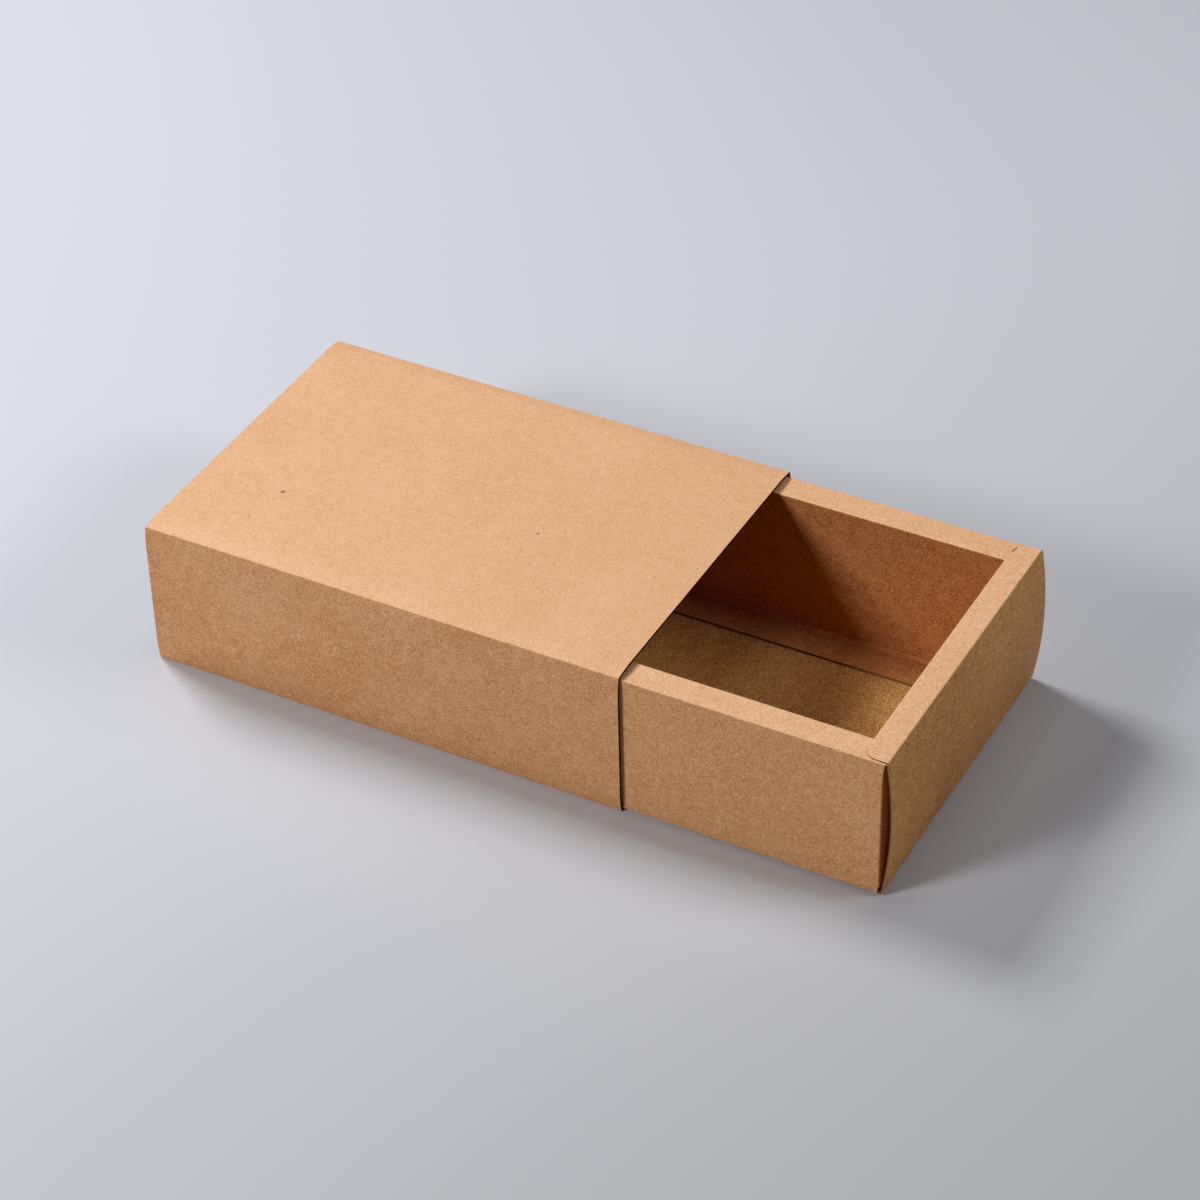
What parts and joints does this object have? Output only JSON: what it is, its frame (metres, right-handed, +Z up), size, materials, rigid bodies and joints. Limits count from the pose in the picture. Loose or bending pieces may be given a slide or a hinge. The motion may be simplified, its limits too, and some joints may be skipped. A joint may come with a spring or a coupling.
{
  "type": "sliding drawer gift box",
  "caption": "Folded kraft card gift box: an open-ended glued sleeve with a double-walled tray drawer that slides out of it.",
  "frame": {"origin": "middle of the sleeve's underside, on the surface that the box stands on", "axes": "+X the way the drawer pulls out at its front, +Y across to the box's right side, +Z up"},
  "size_m": [0.3054, 0.1404, 0.063],
  "materials": {
    "sleeve_board": "uncoated brown kraft board, fine mottled fibre grain",
    "drawer_board": "uncoated brown kraft board, fine mottled fibre grain"
  },
  "bodies": {
    "sleeve": {"sleeve_top_panel": "sleeve_board", "sleeve_left_side": "sleeve_board", "sleeve_right_side": "sleeve_board", "sleeve_bottom_panel": "sleeve_board", "sleeve_glue_flap": "sleeve_board"},
    "drawer": {"drawer_floor": "drawer_board", "drawer_left_outer_wall": "drawer_board", "drawer_left_rim": "drawer_board", "drawer_left_inner_wall": "drawer_board", "drawer_left_floor_flap": "drawer_board", "drawer_right_outer_wall": "drawer_board", "drawer_right_rim": "drawer_board", "drawer_right_inner_wall": "drawer_board", "drawer_right_floor_flap": "drawer_board", "drawer_front_outer_wall": "drawer_board", "drawer_front_rim": "drawer_board", "drawer_front_inner_wall": "drawer_board", "drawer_rear_outer_wall": "drawer_board", "drawer_rear_rim": "drawer_board", "drawer_rear_inner_wall": "drawer_board", "drawer_front_left_corner_flap": "drawer_board", "drawer_front_right_corner_flap": "drawer_board", "drawer_rear_left_corner_flap": "drawer_board", "drawer_rear_right_corner_flap": "drawer_board"}
  },
  "joints": [
    {"name": "drawer_slide", "type": "slide", "parent": "sleeve", "child": "drawer", "axis": [1, 0, 0], "range_m": [-0.3084, 0.1016]}
  ]
}
